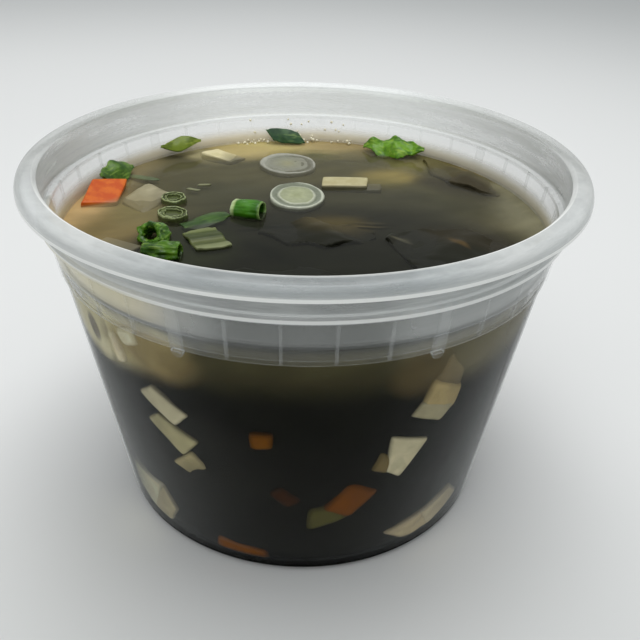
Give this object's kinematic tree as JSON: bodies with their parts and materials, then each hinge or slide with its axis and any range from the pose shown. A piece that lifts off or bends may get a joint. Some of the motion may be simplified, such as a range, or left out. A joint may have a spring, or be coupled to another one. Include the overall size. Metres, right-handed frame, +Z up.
{
  "type": "tub of seaweed soup",
  "caption": "Round clear plastic take-out tub with a rolled rim and ribbed collar, filled with dark seaweed soup, with tofu, carrot and scallion floating at its surface.",
  "frame": {"origin": "centre of the tub's flat base, on the surface that it stands on", "axes": "+Z up out of the open mouth, -Y towards the front shown in the picture, +X to its right"},
  "size_m": [0.1174, 0.1174, 0.078],
  "materials": {
    "tub_plastic": "clear, slightly milky, moulded",
    "broth": "wet, murky",
    "carrot": "wet cut carrot",
    "tofu": "soft and moist",
    "scallion_white": "wet, crisp",
    "scallion_soaked": "wet, see-through",
    "scallion_green": "wet leaf",
    "scallion_pale": "wet, thin",
    "scallion_split": "wet, ridged",
    "leaf_olive": "wet leaf",
    "leaf_dark": "wet leaf",
    "leaf_bright": "wet leaf",
    "seaweed": "slippery and wet"
  },
  "bodies": {
    "root": {"tub": "tub_plastic", "broth": "broth", "carrot": "carrot", "tofu_left": "tofu", "tofu_back": "tofu", "tofu_bar": "tofu", "scallion_slice_front": "scallion_white", "scallion_slice_back": "scallion_soaked", "scallion_tube": "scallion_green", "scallion_strip": "scallion_green", "scallion_split": "scallion_split", "scallion_ring_back": "scallion_pale", "scallion_ring_front": "scallion_pale", "scallion_curl_back": "scallion_green", "scallion_curl_front": "scallion_green", "leaf_back_left": "leaf_olive", "leaf_back": "leaf_dark", "leaf_left": "leaf_dark", "leaf_back_right": "leaf_bright", "seaweed_back": "seaweed", "seaweed_right": "seaweed", "seaweed_front": "seaweed", "seaweed_centre": "seaweed"}
  },
  "joints": []
}
